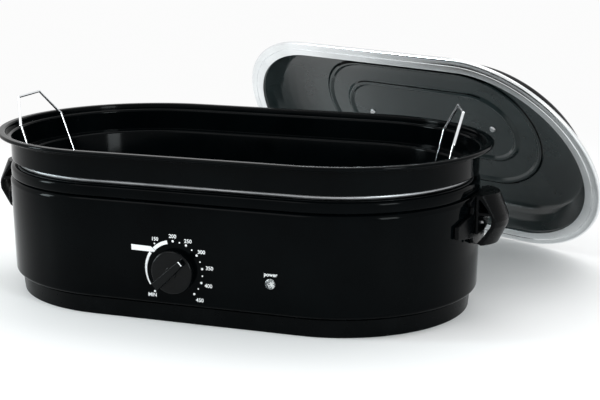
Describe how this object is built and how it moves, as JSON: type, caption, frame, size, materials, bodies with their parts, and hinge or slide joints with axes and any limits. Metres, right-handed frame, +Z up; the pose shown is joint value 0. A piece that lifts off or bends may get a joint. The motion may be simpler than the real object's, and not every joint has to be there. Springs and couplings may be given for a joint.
{
  "type": "electric roaster oven",
  "caption": "Countertop electric roaster: black enamel shell with a dial, lift-out pan, wire rack with two swing bails, and a loose domed lid standing behind it.",
  "frame": {"origin": "middle of the body's footprint, on the counter, between the four feet", "axes": "+Z up, -Y to the front with the dial, +X to the right along the body's length"},
  "size_m": [0.667, 0.585, 0.2486],
  "materials": {
    "black_enamel": "gloss",
    "pan_enamel": "gloss",
    "lid_enamel": "gloss",
    "base_plastic": "satin",
    "handle_plastic": "satin",
    "knob_plastic": "gloss",
    "foot_rubber": "matte",
    "zinc_steel": "satin",
    "well_steel": "satin",
    "heater_mica": "matte",
    "mineral_wool": "matte",
    "shield_aluminium": "satin",
    "ceramic": "matte",
    "brass": "satin",
    "lens_clear": "gloss",
    "neon_glass": "gloss",
    "lead_sleeve": "matte",
    "chrome_wire": "polished",
    "trim_chrome": "polished"
  },
  "bodies": {
    "base": {"base_pan": "base_plastic", "rubber_feet": "foot_rubber", "base_screws": "zinc_steel", "body_shell": "black_enamel", "collar_band": "black_enamel", "heating_well": "well_steel", "heater_band": "heater_mica", "mineral_wool_blanket": "mineral_wool", "heat_shield": "shield_aluminium", "well_studs": "zinc_steel", "stud_spacers": "ceramic", "stud_nuts": "zinc_steel", "thermostat_bracket": "zinc_steel", "thermostat_body": "ceramic", "thermostat_screws": "zinc_steel", "power_lamp_lens": "lens_clear", "power_lamp_neon": "neon_glass", "power_lamp_clip": "zinc_steel", "terminal_block": "ceramic", "internal_leads": "lead_sleeve", "cord_gland": "base_plastic", "cord_gland_nut": "base_plastic", "handle_plate_left": "handle_plastic", "handle_plate_right": "handle_plastic", "side_handle_left": "handle_plastic", "side_handle_right": "handle_plastic", "handle_screws": "zinc_steel"},
    "knob": {"control_knob": "knob_plastic", "thermostat_shaft": "brass"},
    "pan": {"roasting_pan": "pan_enamel"},
    "rack": {"rack_grid": "chrome_wire"},
    "bail_left": {"rack_bail_left": "chrome_wire"},
    "bail_right": {"rack_bail_right": "chrome_wire"},
    "lid": {"lid_dome": "lid_enamel", "lid_trim_band": "trim_chrome", "lid_handle": "handle_plastic", "lid_handle_screws": "zinc_steel"}
  },
  "joints": [
    {"name": "knob_turn", "type": "hinge", "parent": "base", "child": "knob", "pos_m": [-0.0155, -0.15, 0.0578], "axis": [0, -1, 0], "range_deg": [-85, 186]},
    {"name": "pan_lift", "type": "slide", "parent": "base", "child": "pan", "axis": [0, 0, 1], "range_m": [0, 0.12]},
    {"name": "rack_lift", "type": "slide", "parent": "pan", "child": "rack", "axis": [0, 0, 1], "range_m": [0, 0.15]},
    {"name": "left_bail_fold", "type": "hinge", "parent": "rack", "child": "bail_left", "pos_m": [-0.204, 0, 0.0495], "axis": [0, 1, 0], "range_deg": [0, 96]},
    {"name": "right_bail_fold", "type": "hinge", "parent": "rack", "child": "bail_right", "pos_m": [0.204, 0, 0.0495], "axis": [0.3256, -0.9455, 0], "range_deg": [0, 86]},
    {"name": "lid_lift", "type": "slide", "parent": "base", "child": "lid", "axis": [0, 0, 1], "range_m": [0, 0.2]}
  ]
}
